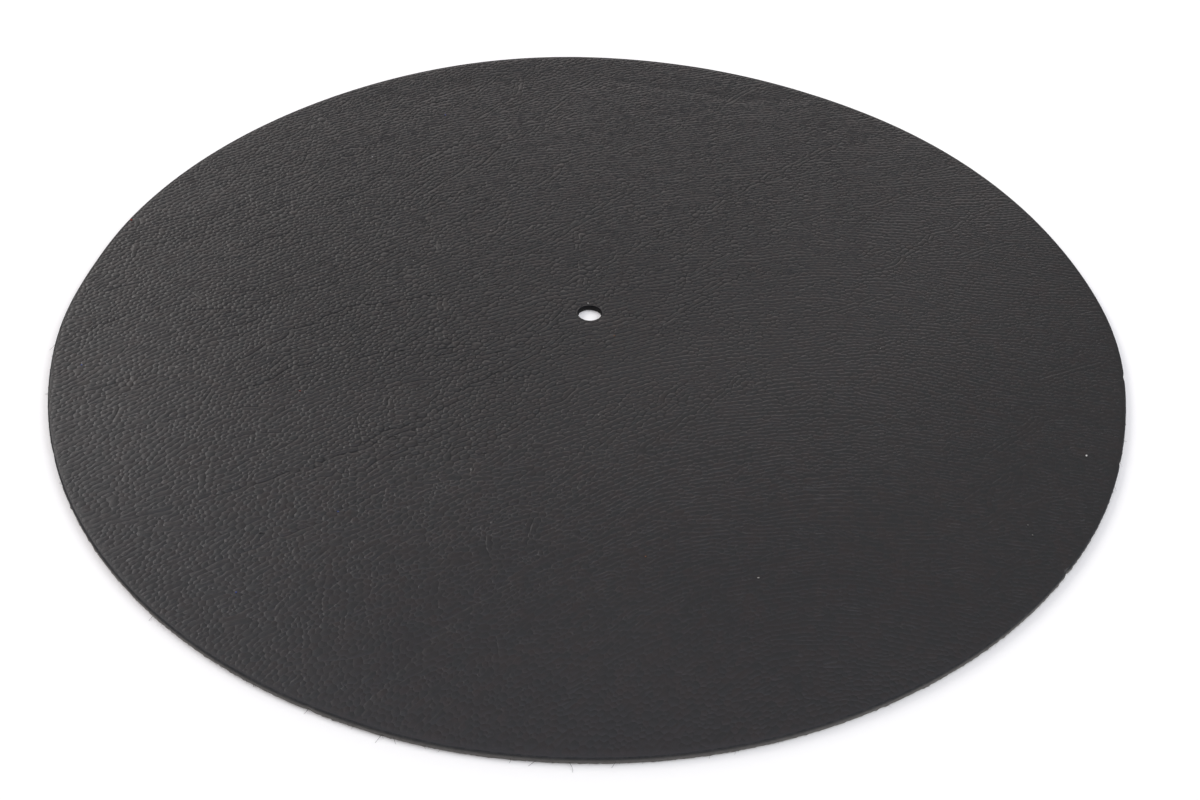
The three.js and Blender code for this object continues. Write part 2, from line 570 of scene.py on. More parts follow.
def joined(x, y):
    """Triangles over the points, which begin with a ring along the rim and one round the hole.
    The triangles that fill the hole run the same way round as its ring, and are left out."""
    borders = [(i, (i + 1) % rim_count) for i in range(rim_count)]
    borders += [(rim_count + i, rim_count + (i + 1) % HOLE_POINTS) for i in range(HOLE_POINTS)]
    points = [Vector(place) for place in zip(x, y)]
    _, _, faces, origins, _, _ = delaunay_2d_cdt(points, borders, [], 1, 1e-7)
    back = {new: old[0] for new, old in enumerate(origins)}
    triangles = np.array([[back[v] for v in face] for face in faces])
    on_hole = ((triangles >= rim_count) & (triangles < first_seed)).all(axis=1)
    one, two, three = triangles.T
    with_ring = (one < two) & (two < three) | (two < three) & (three < one) | (three < one) & (one < two)
    return triangles[~(on_hole & with_ring)]


def joined_to_rings(x, y):
    """All the points of the grain side, the triangles over them, and the triangles' middles."""
    all_x, all_y = np.concatenate([rim_x, hole_x, x]), np.concatenate([rim_y, hole_y, y])
    triangles = joined(all_x, all_y)
    return all_x, all_y, triangles, all_x[triangles].mean(axis=1), all_y[triangles].mean(axis=1)


def gaps_filled(x, y):
    """A seed is added in the middle of each triangle that is too wide, the widest first."""
    all_x, all_y, triangles, middle_x, middle_y = joined_to_rings(x, y)
    away = np.hypot(all_x[triangles[:, 0]] - middle_x, all_y[triangles[:, 0]] - middle_y)
    enough = GAP * pebble_length(middle_x, middle_y)
    placed = Placed()
    added = []
    for i in np.argsort(-away):
        if away[i] > enough[i] and placed.room(middle_x[i], middle_y[i], PEBBLE_LENGTH / 2) > GAP_ROOM:
            placed.put(middle_x[i], middle_y[i], PEBBLE_LENGTH / 2)
            added.append(i)
    return np.concatenate([x, middle_x[added]]), np.concatenate([y, middle_y[added]])


def evened(x, y):
    """Seeds move across their rows, towards the middle of the room that each has."""
    for _ in range(EVENING_ROUNDS):
        all_x, _, triangles, middle_x, middle_y = joined_to_rings(x, y)
        corners_of = triangles.ravel()
        shared = np.maximum(np.bincount(corners_of, minlength=len(all_x)), 1)
        room_x = np.bincount(corners_of, np.repeat(middle_x, 3), len(all_x)) / shared
        room_y = np.bincount(corners_of, np.repeat(middle_y, 3), len(all_x)) / shared
        move_x, move_y = room_x[first_seed:] - x, room_y[first_seed:] - y
        climb = grain_direction(x, y)
        across = EVENING_SHARE * (move_y * np.cos(climb) - move_x * np.sin(climb))
        x, y = x - across * np.sin(climb), y + across * np.cos(climb)
    return x, y


seed_x, seed_y = gaps_filled(seed_x, seed_y)
seed_x, seed_y = evened(seed_x, seed_y)
top_x, top_y, triangles, _, _ = joined_to_rings(seed_x, seed_y)
print(len(seed_x) - len(seed_chain), "pebbles added in the gaps,", len(seed_x), "in all")

# %% [markdown]
# The middle of each triangle is where three pebbles meet, a low point. A fan from each seed
# to the low points round it is then a dome of about six triangles, and each pair of low
# points side by side makes a stretch of valley. Where two of the three pebbles are neighbours in a row, their
# low point is drawn towards the line midway between the rows, so that the rows stay clear.
# Some neighbours have grown together, with no dip between them, and others have only a
# soft dip. There are most of both on the far side, where the grain is drawn out.

# %% Fans round the seeds
MIDWAY = 0.43  # a low point's share of the seed across the row; 0.5 would be right between
GROWN_TOGETHER = (0.04, 0.13)  # share of neighbours in a row without a dip between them, near and far
SOFT_DIPS = (0.15, 0.80)  # share of them with a soft dip, near and far


def next_in_row():
    """For each seed, whether the one after it is its neighbour in the same row."""
    linked = np.zeros(len(seed_x), dtype=bool)
    follows = (np.diff(seed_chain[:, 0]) == 0) & (np.diff(seed_chain[:, 1]) == 1)
    linked[:len(follows)] = follows
    return linked


linked = next_in_row()


def in_one_row(first, second):
    """Whether two points are neighbouring seeds of one row."""
    lower = np.minimum(first, second) - first_seed
    return (np.abs(first - second) == 1) & (lower >= 0) & linked[np.maximum(lower, 0)]


def low_points():
    """The low point of each three seeds, drawn towards the line midway between their rows."""
    share = np.full(triangles.shape, 1 / 3)
    for k in range(3):
        same = in_one_row(triangles[:, k], triangles[:, (k + 1) % 3])
        share[same, k] = share[same, (k + 1) % 3] = 0.5 - MIDWAY / 2
        share[same, (k + 2) % 3] = MIDWAY
    return (top_x[triangles] * share).sum(axis=1), (top_y[triangles] * share).sum(axis=1)


def drawn_out(x, y):
    """The grain is drawn out along its rows at the far side, less at the left, and round near by."""
    far = smooth_rise(y - 0.5 * x, -130 * MM, -10 * MM)
    return far * (1 - 0.6 * smooth_rise(-x - 0.6 * y, 10 * MM, 90 * MM))


def fans(first_low):
    """Each inner edge of the joining becomes two slim triangles, one to either pebble.
    Where the two have grown together, the edge stays as the ridge that joins their crowns.
    The softer dips between neighbours in a row come back as well, as pairs of low points."""
    edges = {}
    for index, (one, two, three) in enumerate(triangles):
        for start, end in ((one, two), (two, three), (three, one)):
            edges[(start, end)] = first_low + index
    chance = np.random.default_rng(31).uniform(size=len(seed_x))
    far = drawn_out(seed_x, seed_y)
    together = linked & (chance < GROWN_TOGETHER[0] + (GROWN_TOGETHER[1] - GROWN_TOGETHER[0]) * far)
    soft = 1 - chance < SOFT_DIPS[0] + (SOFT_DIPS[1] - SOFT_DIPS[0]) * far
    made, dips = [], set()
    for (start, end), low in edges.items():
        other = edges.get((end, start))
        same_row = in_one_row(start, end)
        if other is None or same_row and together[min(start, end) - first_seed]:
            made.append((start, end, low))
        else:
            made.append((start, other, low))
            if same_row and soft[min(start, end) - first_seed]:
                dips.add((min(low, other), max(low, other)))
    return made, dips


low_x, low_y = low_points()
top_faces, dips = fans(len(top_x))
print(len(low_x), "low points and", len(top_faces), "triangles on the grain side")
print(len(dips), "soft dips between neighbours in a row")

# %% [markdown]
# The rows kept clear of the creases, so there is a valley along each one already. It only
# has to follow the crease closely: every low point that lies near a crease moves most of
# the way onto it, and takes its depth there. That is tens of thousands of searches, so the
# places on the creases are sorted into a tree, which makes each search quick.

# %% Draw the low points into the creases
CREASE_REACH = 0.33  # as a share of a row's width
CREASE_PULL = 0.8  # how much of the way to the crease a low point moves


def nearest_crease(x, y):
    """For each point the nearest place on any crease, how far off it is, and its depth there."""
    line = np.concatenate(creases)
    near = KDTree(len(line))
    for i, (px, py, _) in enumerate(line):
        near.insert((px, py, 0), i)
    near.balance()
    found = [near.find((px, py, 0)) for px, py in zip(x, y)]
    places = np.array([place[:2] for place, _, _ in found])
    index = np.array([i for _, i, _ in found])
    return places[:, 0], places[:, 1], np.array([away for _, _, away in found]), line[index, 2]


crease_x, crease_y, away, depth = nearest_crease(low_x, low_y)
pull = np.where(away < CREASE_REACH * ROW_WIDTH, CREASE_PULL, 0.0)
low_x, low_y = low_x + pull * (crease_x - low_x), low_y + pull * (crease_y - low_y)
low_crease = np.where(pull > 0, depth, 0.0)
print(int((pull > 0).sum()), "low points lie in a crease")

# %% [markdown]
# Heights come next. A pebble's seed is its crown, so it is raised, and more so where the
# grain is crisp. The low points stay on the sheet, or go below it in a crease. Each point
# also remembers how deep in a valley it is, as an attribute, because the leather's material
# paints shade into the valleys, darker and less shiny than the crowns, and makes them rougher.

# %% Crowns and valleys
PEBBLE_HEIGHT = 0.175 * MM
HEIGHT_SPREAD = 0.20
RIM_FADE = 1.8 * MM  # pebbles are pressed flat over this distance from the cut
BORDER_VALLEY = 0.4  # where the grain meets the cut
# a crease also deepens the valleys' painted shade, through the valley attribute
DARK_CREASE = 0.45 * MM  # a crease this deep counts as one full valley more


def beside_cut(x, y):
    radius = np.hypot(x, y)
    to_rim = rim_beyond(x, y) - EDGE_ROUNDING - radius
    to_hole = radius - HOLE_RADIUS - HOLE_ROUNDING
    return smooth_rise(np.minimum(to_rim, to_hole), 0, RIM_FADE)


def crease_strength(x, y):
    """Creases are sharpest at the left, and worn away with the grain."""
    return np.minimum(crispness(x, y) / 1.5, 1) * (0.2 + 0.6 * left_share(x, y))


seed_crown = np.random.default_rng(6).uniform(-1, 1, len(seed_x))
low_crease = low_crease * beside_cut(low_x, low_y) * crease_strength(low_x, low_y)
relief = 0.57 + 0.41 * crispness(seed_x, seed_y)
crown_height = PEBBLE_HEIGHT * relief * (1 + HEIGHT_SPREAD * seed_crown)
_, _, crease_away, crease_depth = nearest_crease(seed_x, seed_y)
beside_crease = np.exp(-((crease_away / (0.6 * ROW_WIDTH)) ** 2))
trough = 0.35 * crease_depth * crease_strength(seed_x, seed_y) * beside_crease
pressed = 0.35 + 0.65 * beside_cut(seed_x, seed_y)
seed_z = grain_side(seed_x, seed_y) + (crown_height - trough) * pressed
low_z = grain_side(low_x, low_y) - low_crease
border_z = grain_side(top_x[:first_seed], top_y[:first_seed])

top_points = np.column_stack([
    np.concatenate([top_x, low_x]),
    np.concatenate([top_y, low_y]),
    np.concatenate([border_z, seed_z, low_z]),
])
valley = np.concatenate([
    np.full(first_seed, BORDER_VALLEY),
    np.zeros(len(seed_x)),
    np.clip(0.45 + 0.35 * crispness(low_x, low_y), 0, 1.2) + low_crease / DARK_CREASE,
])
print(f"crowns stand {np.median(crown_height) / MM:.2f} mm over the valleys")
print(f"creases go {low_crease.max() / MM:.2f} mm deeper")

# %% [markdown]
# A knife leaves its own marks. It draws the grain side down as it enters, so the upper
# corner is round, and below that it cuts through loose fibre, which stands out in nubs.
# The wall is built as rings of points from the grain side down to the suede, and each
# point of the fibrous part is moved in or out a little. Here and there the knife slipped.

# %% The cut edge
FIBRE_ROUGHNESS = 0.05 * MM
NUB_SIZE = 0.16 * MM
NUB_SHARE = 0.06
KNIFE_SLIPS = [  # angle in degrees, depth, half width in degrees
    (351.4, 0.35 * MM, 0.5),
    (337.9, 0.40 * MM, 0.35),
    (321.1, 0.40 * MM, 0.30),
    (247.3, 0.25 * MM, 0.35),
    (205.0, 0.20 * MM, 0.5),
]
WALL_LEVELS = (0.55, 0.30, 0.067)  # shares of the thickness, from the rounding down
WALL_DEPTHS = (0.02, 0.07, 0.2, 0.45, 0.70, 0.93, 1.0)  # of every ring, from the grain side down
UNDER_ROUNDING = 0.12 * MM


def knife_slip(angle):
    slip = np.zeros_like(angle)
    for at, depth, half_width in KNIFE_SLIPS:
        turn = (angle - at + 180) % 360 - 180
        slip += depth * np.exp(-((turn / half_width) ** 2))
    return slip


def cut_wall(count, radius_at, outward, rounding, seed):
    """Rings of points down a cut, from just under the grain side to the suede."""
    draw = np.random.default_rng(seed)
    angle = np.arange(count) * 360 / count
    turn = np.radians(angle)
    edge_x, edge_y = ring(count, radius_at, outward * rounding)
    top = grain_side(edge_x, edge_y)
    bottom = sheet_lift(edge_x, edge_y)
    rings = []
    for step in (30, 60, 90):
        inset = rounding * (1 - sin(radians(step)))
        share = 1 - rounding * (1 - cos(radians(step))) / THICKNESS
        rings.append((inset, share, 0.15 * FIBRE_ROUGHNESS))
    for share in WALL_LEVELS:
        rings.append((0, share, FIBRE_ROUGHNESS))
    rings.append((UNDER_ROUNDING, 0, FIBRE_ROUGHNESS))
    made = []
    for inset, share, roughness in rings:
        push = roughness * draw.normal(size=count)
        if roughness == FIBRE_ROUGHNESS:
            push += NUB_SIZE * draw.uniform(0.4, 1, count) * (draw.uniform(size=count) < NUB_SHARE)
        radius = radius_at(angle) - outward * (inset - push)
        if outward > 0:
            radius -= knife_slip(angle) * (1 - 0.3 * share)
        height = bottom + share * (top - bottom)
        made.append(np.column_stack([radius * np.cos(turn), radius * np.sin(turn), height]))
    return made


def band_faces(upper, lower, outward):
    """Quads between two rings of points, facing away from the leather."""
    faces = []
    count = len(upper)
    for i in range(count):
        j = (i + 1) % count
        quad = (upper[i], lower[i], lower[j], upper[j])
        faces.append(quad if outward > 0 else quad[::-1])
    return faces


rim_wall = cut_wall(rim_count, rim_radius, 1, EDGE_ROUNDING, seed=41)
hole_wall = cut_wall(HOLE_POINTS, hole_radius, -1, HOLE_ROUNDING, seed=43)
print(len(rim_wall), "rings down the rim,", rim_count, "points in each")

# %% [markdown]
# The suede side rests on the table and is never seen from above, so it gets few points:
# the lowest ring of either wall, and a loose net of points between them. It carries the
# same lift as the grain side, or the curled rim would be thicker than the rest.

# %% The suede side
NET_GAP = 8 * MM


def net_points():
    steps = np.arange(-RIM_RADIUS, RIM_RADIUS, NET_GAP)
    x, y = np.meshgrid(steps, steps * 0.866)
    x = x + NET_GAP / 2 * (np.arange(len(steps)) % 2)[:, None]
    x, y = x.ravel(), y.ravel()
    radius = np.hypot(x, y)
    kept = (radius < RIM_RADIUS - 0.4 * NET_GAP) & (radius > HOLE_RADIUS + 0.5 * NET_GAP)
    return x[kept], y[kept]


net_x, net_y = net_points()
under_x = np.concatenate([rim_wall[-1][:, 0], hole_wall[-1][:, 0], net_x])
under_y = np.concatenate([rim_wall[-1][:, 1], hole_wall[-1][:, 1], net_y])
under_faces = joined(under_x, under_y)
net_z = sheet_lift(net_x, net_y)
print(len(under_faces), "triangles on the suede side")

# %% [markdown]
# All of it now becomes one closed mesh: the grain side, the wall of the rim and that of the
# hole, and the suede side, each with its own finish. The rings of a wall remember how far
# down the cut they are, in the same attribute that tells how deep a valley is.

# %% One closed skin
GRAIN, CUT, SUEDE = 0, 1, 2


def closed_skin():
    """The points, how deep each is, the faces, and the finish of each face."""
    points, depths = [top_points], [valley]
    count = len(top_points)
    faces = list(top_faces)
    finish = [GRAIN] * len(faces)
    lowest = []
    for wall, first, ring_count, outward in (
        (rim_wall, 0, rim_count, 1),
        (hole_wall, rim_count, HOLE_POINTS, -1),
    ):
        upper = np.arange(first, first + ring_count)
        for ring_points, ring_depth in zip(wall, WALL_DEPTHS):
            lower = np.arange(count, count + ring_count)
            faces += band_faces(upper, lower, outward)
            finish += [CUT] * ring_count
            points.append(ring_points)
            depths.append(np.full(ring_count, ring_depth))
            upper = lower
            count += ring_count
        lowest.append(upper)
    points.append(np.column_stack([net_x, net_y, net_z]))
    depths.append(np.zeros(len(net_x)))
    under_index = np.concatenate([*lowest, np.arange(count, count + len(net_x))])
    faces += [tuple(under_index[[one, three, two]]) for one, two, three in under_faces]
    finish += [SUEDE] * len(under_faces)
    return np.concatenate(points), np.concatenate(depths), faces, finish


skin_points, skin_depths, skin_faces, skin_finish = closed_skin()
print(len(skin_points), "points,", len(skin_faces), "faces in the skin")

# %% [markdown]
# Faces are smooth, so that light rolls over each pebble, but the edges that join two low
# points are marked sharp: they are the valleys, and without the mark the smoothing would
# fill them in. The soft dips between neighbours in a row are the exception. They stay
# smooth and count for less than a full valley, so two pebbles read as one long one.

# %% The leather's mesh
DIP_SHARE = 0.6  # the dip between neighbours in a row is this share of a full valley


def mark_valleys(mesh):
    ends = np.empty(2 * len(mesh.edges), dtype=np.int32)
    mesh.edges.foreach_get("vertices", ends)
    ends = ends.reshape(-1, 2)
    low = ((ends >= len(top_x)) & (ends < len(top_points))).all(axis=1)
    sharp = [
        both and (min(pair), max(pair)) not in dips
        for both, pair in zip(low.tolist(), ends.tolist())
    ]
    mesh.attributes.new("sharp_edge", "BOOLEAN", "EDGE").data.foreach_set("value", sharp)


def depth_at_corners(mesh):
    """How deep each corner of each face is: in a valley, or down the cut."""
    corner_points = np.empty(len(mesh.loops), dtype=np.int32)
    mesh.loops.foreach_get("vertex_index", corner_points)
    depth = skin_depths[corner_points]
    on_cut = np.repeat(np.array(skin_finish) == CUT, [len(face) for face in skin_faces])
    depth[on_cut & (corner_points < len(top_points))] = 0
    for face, (_, second, third) in enumerate(top_faces):
        if (min(second, third), max(second, third)) in dips:
            depth[3 * face + 1:3 * face + 3] *= DIP_SHARE
    return depth


def leather_mesh():
    mesh = bpy.data.meshes.new("leather_mat_hide")
    mesh.from_pydata(skin_points.tolist(), [], [tuple(int(v) for v in face) for face in skin_faces])
    mesh.polygons.foreach_set("material_index", skin_finish)
    mesh.shade_smooth()
    mark_valleys(mesh)
    crisp = np.zeros(len(skin_points))
    crisp[:len(top_points)] = crispness(top_points[:, 0], top_points[:, 1])
    pebble_shade = np.random.default_rng(17).uniform(0, 1, len(skin_points))
    first_corners = np.array([face[0] for face in skin_faces])
    for name, domain, values in (
        ("valley", "CORNER", depth_at_corners(mesh)),
        ("crispness", "POINT", crisp),
        ("pebble_shade", "FACE", pebble_shade[first_corners]),
    ):
        mesh.attributes.new(name, "FLOAT", domain).data.foreach_set("value", values)
    mesh.update()
    return mesh


leather = add_object("pebbled_leather", leather_mesh())
print(sum(len(face) - 2 for face in skin_faces), "triangles in the leather")

# %% [markdown]
# Materials are built from nodes, and a few helpers keep that readable: one that feeds a
# socket, one that adds a node with its settings, and one each for the nodes that the
# finishes share. All noise is measured in the object's own metres, so its scale is a real
# size.

# %% Helpers for materials
def new_material(name):
    material = bpy.data.materials.new(name)
    material.use_nodes = True
    tree = material.node_tree
    tree.nodes.clear()
    shader = tree.nodes.new("ShaderNodeBsdfPrincipled")
    output = tree.nodes.new("ShaderNodeOutputMaterial")
    tree.links.new(shader.outputs["BSDF"], output.inputs["Surface"])
    return material, tree, shader


def feed(tree, socket, value):
    """Another node's output is linked to the socket, and anything else is set on it."""
    if isinstance(value, bpy.types.NodeSocket):
        tree.links.new(value, socket)
    else:
        socket.default_value = value


def add(tree, kind, inputs=None, **settings):
    node = tree.nodes.new(kind)
    for name, value in settings.items():
        setattr(node, name, value)
    for name, value in (inputs or {}).items():
        feed(tree, node.inputs[name], value)
    return node


def place_on_object(tree):
    return add(tree, "ShaderNodeTexCoord").outputs["Object"]


def stored(tree, name, output="Fac"):
    """A value that the mesh carries as an attribute."""
    return add(tree, "ShaderNodeAttribute", attribute_name=name).outputs[output]


def noise(tree, size, detail=2.0, roughness=0.5):
    """Noise whose lumps are about `size` across."""
    place = place_on_object(tree)
    inputs = {"Vector": place, "Scale": 0.5 / size, "Detail": detail, "Roughness": roughness}
    return add(tree, "ShaderNodeTexNoise", inputs).outputs["Fac"]


def rescale(tree, value, low, high, new_low=0.0, new_high=1.0, smooth=False):
    kind = "SMOOTHSTEP" if smooth else "LINEAR"
    inputs = {"Value": value, "From Min": low, "From Max": high, "To Min": new_low, "To Max": new_high}
    return add(tree, "ShaderNodeMapRange", inputs, interpolation_type=kind).outputs["Result"]


def blend_colour(tree, factor, first, second):
    node = add(tree, "ShaderNodeMix", data_type="RGBA", blend_type="MIX")
    feed(tree, node.inputs[0], factor)
    for socket, colour in ((node.inputs[6], first), (node.inputs[7], second)):
        feed(tree, socket, colour if isinstance(colour, bpy.types.NodeSocket) else (*colour, 1))
    return node.outputs[2]


def combine(tree, how, first, second):
    return add(tree, "ShaderNodeMath", {0: first, 1: second}, operation=how).outputs[0]


def bump(tree, height, distance, before=None):
    """Relief that is too fine for the mesh, on top of the relief that comes before it."""
    inputs = {"Height": height, "Distance": distance, "Strength": 1.0}
    if before is not None:
        inputs["Normal"] = before
    return add(tree, "ShaderNodeBump", inputs).outputs["Normal"]


# %% [markdown]
# The grain side is drum-dyed hide under a thin pigment finish. Wear and handling polish
# the crowns, so the valleys are rougher. The valleys also get painted shade: their colour
# is darker and cooler, for the shade that settles in them and a little dye, and their shine
# is cut. Where the grain is worn down the whole surface is a little duller too. Over the mat
# the dye isn't quite even either. Besides the pebbles that the mesh has, the finish shows
# wrinkles finer than a pebble, and those are left to bump.

# %% Finish of the grain side
def grain_finish():
    material, tree, shader = new_material("black_pebbled_grain")
    depth = stored(tree, "valley")
    crisp = stored(tree, "crispness")
    in_valley = rescale(tree, depth, 0.6, 1.5, smooth=True)

    dye_patches = rescale(tree, noise(tree, 30 * MM, detail=3.0), 0.35, 0.65)
    blotches = rescale(tree, noise(tree, 3 * MM), 0.4, 0.7, 0.0, 0.4)
    own_shade = rescale(tree, stored(tree, "pebble_shade"), 0, 1, 0.0, 0.7)
    even = blend_colour(tree, dye_patches, (0.0115, 0.0100, 0.0100), (0.0145, 0.0130, 0.0125))
    warm = blend_colour(tree, blotches, even, (0.020, 0.014, 0.012))
    varied = blend_colour(tree, own_shade, warm, (0.009, 0.011, 0.011))
    # painted shade, with a little dye: the valleys are coloured darker and cooler
    colour = blend_colour(tree, in_valley, varied, (0.006, 0.006, 0.0065))
    feed(tree, shader.inputs["Base Color"], colour)

    pores = rescale(tree, noise(tree, 0.12 * MM, detail=1.0), 0.3, 0.7, 0.36, 0.45)
    rougher = combine(tree, "MULTIPLY", in_valley, 0.2)
    feed(tree, shader.inputs["Roughness"], combine(tree, "ADD", pores, rougher))
    shader.inputs["Specular IOR Level"].default_value = 0.48
    polish = blend_colour(tree, rescale(tree, crisp, 0.6, 2.2), (0.80, 0.80, 0.85), (1.0, 0.99, 1.0))
    # painted shade: the specular tint cuts the valleys' shine
    painted_valley_shade = rescale(tree, depth, 0.55, 1.05, smooth=True)
    shine_with_painted_shade = blend_colour(tree, painted_valley_shade, polish, (0.46, 0.46, 0.48))
    feed(tree, shader.inputs["Specular Tint"], shine_with_painted_shade)

    profile = rescale(tree, depth, 0.35, 1.25, 1.0, 0.0, smooth=True)
    grooves = bump(tree, combine(tree, "MULTIPLY", profile, crisp), 0.05 * MM)
    lumps = combine(tree, "MULTIPLY", noise(tree, 0.9 * MM, detail=1.0), crisp)
    lumpy = bump(tree, lumps, 0.04 * MM, grooves)
    wrinkles = noise(tree, 0.28 * MM, detail=3.0, roughness=0.6)
    feed(tree, shader.inputs["Normal"], bump(tree, wrinkles, 0.02 * MM, lumpy))
    return material


# %% [markdown]
# The cut edge is bare fibre. It has no finish to catch the light, so it is dull, with a
# fine fuzz. Its colour is darkest at the grain side and pales towards the suede, and the
# wall of the hole is painted near black, as painted shade for the shadow inside the hole.
# The suede side is the same fibre, raised to a nap, and a nap lightens at a glancing angle,
# which is what sheen is for.

# %% Finishes of the cut edge and the suede side
def cut_finish():
    material, tree, shader = new_material("dyed_cut_edge")
    fibres = noise(tree, 0.12 * MM, detail=3.0, roughness=0.7)
    in_fibre = rescale(tree, fibres, 0.35, 0.7)
    in_clump = rescale(tree, noise(tree, 0.8 * MM), 0.45, 0.75, 0.0, 0.5)
    down_the_cut = rescale(tree, stored(tree, "valley"), 0.0, 0.95)
    from_centre = add(tree, "ShaderNodeVectorMath", {0: place_on_object(tree)}, operation="LENGTH")
    # painted shade: the wall of the hole is coloured near black
    painted_hole_shade = rescale(tree, from_centre.outputs["Value"], 5 * MM, 10 * MM, 0.85, 0.0)
    dyed = blend_colour(tree, in_fibre, (0.018, 0.020, 0.022), (0.050, 0.050, 0.054))
    clumped = blend_colour(tree, in_clump, dyed, (0.065, 0.064, 0.068))
    paler = blend_colour(tree, down_the_cut, clumped, (0.240, 0.228, 0.218))
    feed(tree, shader.inputs["Base Color"], blend_colour(tree, painted_hole_shade, paler, (0.004, 0.004, 0.006)))
    feed(tree, shader.inputs["Roughness"], rescale(tree, fibres, 0.3, 0.7, 0.75, 0.95))
    shader.inputs["Specular IOR Level"].default_value = 0.03
    feed(tree, shader.inputs["Normal"], bump(tree, fibres, 0.10 * MM))
    return material


def suede_finish():
    material, tree, shader = new_material("suede_underside")
    nap = noise(tree, 0.25 * MM, detail=4.0, roughness=0.7)
    brushed = rescale(tree, noise(tree, 14 * MM, detail=3.0, roughness=0.6), 0.42, 0.62, 0.0, 0.5)
    in_nap = rescale(tree, nap, 0.3, 0.7)
    fibre_colour = blend_colour(tree, in_nap, (0.050, 0.048, 0.048), (0.100, 0.094, 0.092))
    feed(tree, shader.inputs["Base Color"], blend_colour(tree, brushed, fibre_colour, (0.075, 0.071, 0.070)))
    feed(tree, shader.inputs["Roughness"], rescale(tree, nap, 0.3, 0.7, 0.85, 1.0))
    shader.inputs["Sheen Weight"].default_value = 0.3
    shader.inputs["Sheen Roughness"].default_value = 0.4
    feed(tree, shader.inputs["Normal"], bump(tree, nap, 0.15 * MM))
    return material


for finish in (grain_finish(), cut_finish(), suede_finish()):
    leather.data.materials.append(finish)
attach(leather, "root")
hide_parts("leather_mat")
print("finishes:", [slot.name for slot in leather.material_slots])

# %% [markdown]
# A cut through leather always leaves a few fibres standing. Each is a thin tapered tube
# along a bent path, closed at both ends, so that it stays a solid. They start inside the
# wall, where they are rooted, and droop towards the table.

# %% Loose fibres on the cut edge
FIBRE_SIDES = 5
FIBRE_STEPS = 5
ROOT_DEPTH = 0.15 * MM
LEAST_HEIGHT = 0.06 * MM  # a drooping fibre comes no closer to the table
TUFT_THICKNESS = 0.10 * MM
STRAY_THICKNESS = 0.06 * MM
FIBRE_TUFTS = [  # angle in degrees, length, height of the root as a share, lean along the rim
    (269.6, 2.3 * MM, 0.25, 0.9),
    (273.4, 1.2 * MM, 0.40, -0.5),
    (264.9, 1.0 * MM, 0.30, 0.3),
    (267.0, 1.3 * MM, 0.35, -0.8),
    (229.3, 1.6 * MM, 0.30, 0.5),
    (254.1, 2.2 * MM, 0.25, -0.3),
    (255.1, 1.2 * MM, 0.50, 0.8),
    (247.3, 1.3 * MM, 0.40, 0.2),
    (341.5, 1.2 * MM, 0.60, 0.7),
    (187.2, 1.8 * MM, 0.50, 1.2),
    (195.3, 1.3 * MM, 0.40, -0.4),
]
STRAY_FIBRES = 150


def tapered_tube(path, thickness):
    """Points and faces of a closed tube that is thickest at its root."""
    points, faces = [], []
    last = len(path) - 1
    for step, place in enumerate(path):
        ahead = (path[min(step + 1, last)] - path[max(step - 1, 0)]).normalized()
        side = ahead.cross(Vector((0, 0, 1)) if abs(ahead.z) < 0.9 else Vector((1, 0, 0))).normalized()
        top = ahead.cross(side)
        radius = thickness / 2 * (1 - 0.6 * step / last)
        for corner in range(FIBRE_SIDES):
            turn = 2 * pi * corner / FIBRE_SIDES
            points.append(place + radius * (cos(turn) * side + sin(turn) * top))
    for step in range(last):
        for corner in range(FIBRE_SIDES):
            following = (corner + 1) % FIBRE_SIDES
            near, far = step * FIBRE_SIDES, (step + 1) * FIBRE_SIDES
            faces.append((near + corner, near + following, far + following, far + corner))
    faces.append(tuple(reversed(range(FIBRE_SIDES))))
    faces.append(tuple(range(last * FIBRE_SIDES, (last + 1) * FIBRE_SIDES)))
    return points, faces


def fibre_path(angle, length, share, lean, draw):
    turn = radians(angle)
    outward = Vector((cos(turn), sin(turn), 0))
    along = Vector((-sin(turn), cos(turn), 0))
    edge = float(rim_radius(angle))
    root = (edge - ROOT_DEPTH) * outward
    root.z = float(rim_lift(angle)) + share * THICKNESS
    path = []
    bend = draw.uniform(-0.6, 0.6)
    for step in range(FIBRE_STEPS + 1):
        gone = step / FIBRE_STEPS
        point = root + length * gone * outward + length * (lean * gone + bend * gone * gone) * along
        point.z = max(root.z - share * THICKNESS * gone ** 1.5, LEAST_HEIGHT)
        path.append(point)
    return path


def fibre_mesh():
    draw = np.random.default_rng(71)
    points, faces = [], []
    wanted = [(*tuft, TUFT_THICKNESS) for tuft in FIBRE_TUFTS]
    for _ in range(STRAY_FIBRES):
        length = 0.3 * MM + 0.7 * MM * draw.uniform() ** 3
        angle = draw.uniform(0, 360)
        share = draw.uniform(0.1, 0.7)
        lean = draw.uniform(-0.8, 0.8)
        wanted.append((angle, length, share, lean, STRAY_THICKNESS))
    for angle, length, share, lean, thickness in wanted:
        path = fibre_path(angle, length, share, lean, draw)
        tube_points, tube_faces = tapered_tube(path, thickness)
        faces += [tuple(len(points) + v for v in face) for face in tube_faces]
        points += tube_points
    mesh = bpy.data.meshes.new("loose_fibres")
    mesh.from_pydata(points, [], faces)
    mesh.shade_smooth()
    return mesh


def fibre_finish():
    material, tree, shader = new_material("dyed_fibre")
    streaks = noise(tree, 0.3 * MM)
    in_streak = rescale(tree, streaks, 0.4, 0.6)
    colour = blend_colour(tree, in_streak, (0.020, 0.019, 0.020), (0.060, 0.056, 0.055))
    feed(tree, shader.inputs["Base Color"], colour)
    feed(tree, shader.inputs["Roughness"], rescale(tree, streaks, 0.3, 0.7, 0.6, 0.9))
    return material


fibres = add_object("loose_fibres", fibre_mesh())
fibres.data.materials.append(fibre_finish())
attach(fibres, "root")
print(len(FIBRE_TUFTS) + STRAY_FIBRES, "fibres,", len(fibres.data.polygons), "faces")

